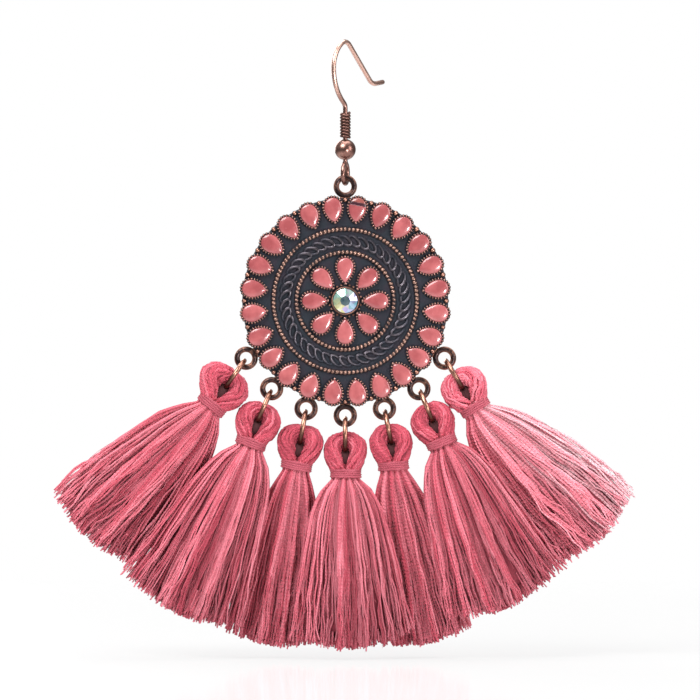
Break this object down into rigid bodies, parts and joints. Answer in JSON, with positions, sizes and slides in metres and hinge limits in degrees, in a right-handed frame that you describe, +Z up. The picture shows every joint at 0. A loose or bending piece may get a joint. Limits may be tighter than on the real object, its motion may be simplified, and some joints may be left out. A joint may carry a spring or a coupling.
{
  "type": "tassel earring",
  "caption": "Drop earring: a French hook carries a round enamelled medallion with a cut stone, and a fan of thread tassels hangs from eyes along its lower edge.",
  "frame": {"origin": "inside of the hook's crown, where the hook hangs in the ear", "axes": "the medallion's front faces -Y, +Z is up, and +X is to the right as seen from the front"},
  "size_m": [0.0868, 0.0113, 0.0901],
  "materials": {
    "hook_copper": "polished copper plating",
    "antique_copper": "antique copper plating with dark hollows and rubbed high spots",
    "ring_copper": "antique copper plating",
    "coral_enamel": "glossy coral epoxy enamel",
    "crystal": "cut crystal with an iridescent coating",
    "rose_thread": "matt rose cotton thread",
    "neck_thread": "rose winding thread"
  },
  "bodies": {
    "hook": {"ear_hook": "hook_copper", "hook_coil": "hook_copper", "hook_bead": "hook_copper"},
    "drop": {"medallion": "antique_copper", "center_stone": "crystal", "enamel_outer_01": "coral_enamel", "enamel_outer_02": "coral_enamel", "enamel_outer_03": "coral_enamel", "enamel_outer_04": "coral_enamel", "enamel_outer_05": "coral_enamel", "enamel_outer_06": "coral_enamel", "enamel_outer_07": "coral_enamel", "enamel_outer_08": "coral_enamel", "enamel_outer_09": "coral_enamel", "enamel_outer_10": "coral_enamel", "enamel_outer_11": "coral_enamel", "enamel_outer_12": "coral_enamel", "enamel_outer_13": "coral_enamel", "enamel_outer_14": "coral_enamel", "enamel_outer_15": "coral_enamel", "enamel_outer_16": "coral_enamel", "enamel_outer_17": "coral_enamel", "enamel_outer_18": "coral_enamel", "enamel_outer_19": "coral_enamel", "enamel_outer_20": "coral_enamel", "enamel_outer_21": "coral_enamel", "enamel_outer_22": "coral_enamel", "enamel_outer_23": "coral_enamel", "enamel_outer_24": "coral_enamel", "enamel_petal_1": "coral_enamel", "enamel_petal_2": "coral_enamel", "enamel_petal_3": "coral_enamel", "enamel_petal_4": "coral_enamel", "enamel_petal_5": "coral_enamel", "enamel_petal_6": "coral_enamel", "enamel_petal_7": "coral_enamel", "enamel_petal_8": "coral_enamel", "jump_ring_1": "ring_copper", "jump_ring_2": "ring_copper", "jump_ring_3": "ring_copper", "jump_ring_4": "ring_copper", "jump_ring_5": "ring_copper", "jump_ring_6": "ring_copper", "jump_ring_7": "ring_copper", "tassel_1": "rose_thread", "tassel_2": "rose_thread", "tassel_3": "rose_thread", "tassel_4": "rose_thread", "tassel_5": "rose_thread", "tassel_6": "rose_thread", "tassel_7": "rose_thread", "neck_wrap_1": "neck_thread", "neck_wrap_2": "neck_thread", "neck_wrap_3": "neck_thread", "neck_wrap_4": "neck_thread", "neck_wrap_5": "neck_thread", "neck_wrap_6": "neck_thread", "neck_wrap_7": "neck_thread"}
  },
  "joints": [
    {"name": "drop_swing", "type": "hinge", "parent": "hook", "child": "drop", "pos_m": [0, 0, -0.01961], "axis": [1, 0, 0], "range_deg": [-120, 120]}
  ]
}
